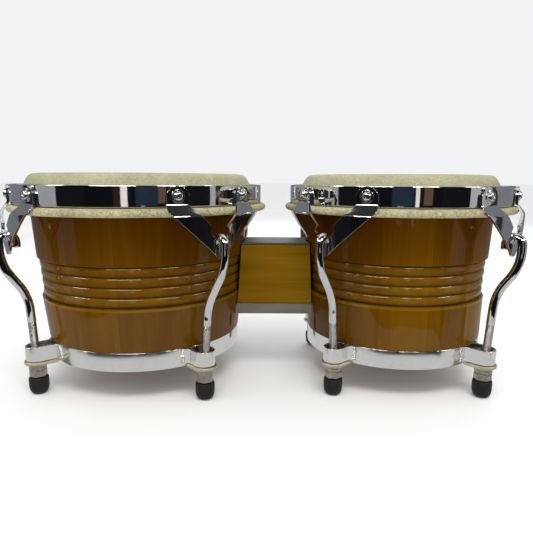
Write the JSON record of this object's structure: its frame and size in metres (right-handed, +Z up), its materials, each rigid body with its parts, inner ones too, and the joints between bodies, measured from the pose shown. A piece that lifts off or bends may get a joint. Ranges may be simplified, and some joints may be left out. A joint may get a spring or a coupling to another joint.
{
  "type": "bongo drums",
  "caption": "Two joined hand drums of unequal size, tapered wood shells with skin heads, steel rims, claws, hooked tuning rods and rubber feet, held by a centre block.",
  "frame": {"origin": "centre of the footprint, on the plane the rubber feet stand on", "axes": "+X from the larger drum to the smaller one, -Y the side shown in the picture, +Z up"},
  "size_m": [0.4666, 0.2346, 0.1907],
  "materials": {
    "lacquered_wood": "glossy amber lacquer over stave wood",
    "block_wood": "satin lacquer over plain wood",
    "skin": "cream natural skin",
    "skin_wrap": "speckled rawhide wrapped over the flesh hoop",
    "chrome": "polished",
    "claw_chrome": "polished",
    "rod_chrome": "polished, with a dull thread below",
    "satin_chrome": "satin",
    "yellow_zinc": "dull yellow zinc",
    "nut_steel": "dull plated",
    "zinc_steel": "dull zinc",
    "grey_plate": "grey plate",
    "rubber": "matt black"
  },
  "bodies": {
    "drums": {"left_shell": "lacquered_wood", "left_head": "skin", "left_bottom_ring": "satin_chrome", "left_backing_plate": "zinc_steel", "left_block_bolt_lower": "zinc_steel", "left_block_bolt_upper": "zinc_steel", "left_lug_plate_front_left": "yellow_zinc", "left_lug_plate_front_right": "yellow_zinc", "left_lug_plate_back_right": "yellow_zinc", "left_lug_plate_back_left": "yellow_zinc", "right_shell": "lacquered_wood", "right_head": "skin", "right_bottom_ring": "satin_chrome", "right_backing_plate": "zinc_steel", "right_block_bolt_lower": "zinc_steel", "right_block_bolt_upper": "zinc_steel", "right_lug_plate_front_left": "yellow_zinc", "right_lug_plate_front_right": "yellow_zinc", "right_lug_plate_back_right": "yellow_zinc", "right_lug_plate_back_left": "yellow_zinc", "centre_block": "block_wood", "centre_top_plate": "grey_plate", "centre_channel": "grey_plate"},
    "left_hoop": {"left_flesh_hoop": "skin_wrap", "left_rim": "chrome", "left_claw_front_left": "claw_chrome", "left_rod_front_left": "rod_chrome", "left_claw_front_right": "claw_chrome", "left_rod_front_right": "rod_chrome", "left_claw_back_right": "claw_chrome", "left_rod_back_right": "rod_chrome", "left_claw_back_left": "claw_chrome", "left_rod_back_left": "rod_chrome"},
    "left_nut_front_left": {"left_nut_front_left": "nut_steel", "left_foot_front_left": "rubber"},
    "left_nut_front_right": {"left_nut_front_right": "nut_steel", "left_foot_front_right": "rubber"},
    "left_nut_back_right": {"left_nut_back_right": "nut_steel", "left_foot_back_right": "rubber"},
    "left_nut_back_left": {"left_nut_back_left": "nut_steel", "left_foot_back_left": "rubber"},
    "right_hoop": {"right_flesh_hoop": "skin_wrap", "right_rim": "chrome", "right_claw_front_left": "claw_chrome", "right_rod_front_left": "rod_chrome", "right_claw_front_right": "claw_chrome", "right_rod_front_right": "rod_chrome", "right_claw_back_right": "claw_chrome", "right_rod_back_right": "rod_chrome", "right_claw_back_left": "claw_chrome", "right_rod_back_left": "rod_chrome"},
    "right_nut_front_left": {"right_nut_front_left": "nut_steel", "right_foot_front_left": "rubber"},
    "right_nut_front_right": {"right_nut_front_right": "nut_steel", "right_foot_front_right": "rubber"},
    "right_nut_back_right": {"right_nut_back_right": "nut_steel", "right_foot_back_right": "rubber"},
    "right_nut_back_left": {"right_nut_back_left": "nut_steel", "right_foot_back_left": "rubber"}
  },
  "joints": [
    {"name": "left_hoop_slide", "type": "slide", "parent": "drums", "child": "left_hoop", "axis": [0, 0, 1], "range_m": [-0.002, 0.002]},
    {"name": "left_nut_turn_front_left", "type": "hinge", "parent": "drums", "child": "left_nut_front_left", "pos_m": [-0.19701, -0.06706, 0.0202], "axis": [0, 0, 1], "range_deg": [-722, 722]},
    {"name": "left_nut_turn_front_right", "type": "hinge", "parent": "drums", "child": "left_nut_front_right", "pos_m": [-0.04957, -0.07745, 0.0202], "axis": [0, 0, 1], "range_deg": [-722, 722]},
    {"name": "left_nut_turn_back_right", "type": "hinge", "parent": "drums", "child": "left_nut_back_right", "pos_m": [-0.04284, 0.07184, 0.0202], "axis": [0, 0, 1], "range_deg": [-722, 722]},
    {"name": "left_nut_turn_back_left", "type": "hinge", "parent": "drums", "child": "left_nut_back_left", "pos_m": [-0.18428, 0.07972, 0.0202], "axis": [0, 0, 1], "range_deg": [-722, 722]},
    {"name": "right_hoop_slide", "type": "slide", "parent": "drums", "child": "right_hoop", "axis": [0, 0, 1], "range_m": [-0.002, 0.002]},
    {"name": "right_nut_turn_front_left", "type": "hinge", "parent": "drums", "child": "right_nut_front_left", "pos_m": [0.06189, -0.0671, 0.0202], "axis": [0, 0, 1], "range_deg": [-722, 722]},
    {"name": "right_nut_turn_front_right", "type": "hinge", "parent": "drums", "child": "right_nut_front_right", "pos_m": [0.19139, -0.07134, 0.0202], "axis": [0, 0, 1], "range_deg": [-722, 722]},
    {"name": "right_nut_turn_back_right", "type": "hinge", "parent": "drums", "child": "right_nut_back_right", "pos_m": [0.19503, 0.06788, 0.0202], "axis": [0, 0, 1], "range_deg": [-722, 722]},
    {"name": "right_nut_turn_back_left", "type": "hinge", "parent": "drums", "child": "right_nut_back_left", "pos_m": [0.05674, 0.06452, 0.0202], "axis": [0, 0, 1], "range_deg": [-722, 722]}
  ],
  "couplings": [
    {"joint": "left_nut_turn_front_left", "follows": "left_hoop_slide", "rad_per_m": -6283.2},
    {"joint": "left_nut_turn_front_right", "follows": "left_hoop_slide", "rad_per_m": -6283.2},
    {"joint": "left_nut_turn_back_right", "follows": "left_hoop_slide", "rad_per_m": -6283.2},
    {"joint": "left_nut_turn_back_left", "follows": "left_hoop_slide", "rad_per_m": -6283.2},
    {"joint": "right_nut_turn_front_left", "follows": "right_hoop_slide", "rad_per_m": -6283.2},
    {"joint": "right_nut_turn_front_right", "follows": "right_hoop_slide", "rad_per_m": -6283.2},
    {"joint": "right_nut_turn_back_right", "follows": "right_hoop_slide", "rad_per_m": -6283.2},
    {"joint": "right_nut_turn_back_left", "follows": "right_hoop_slide", "rad_per_m": -6283.2}
  ]
}
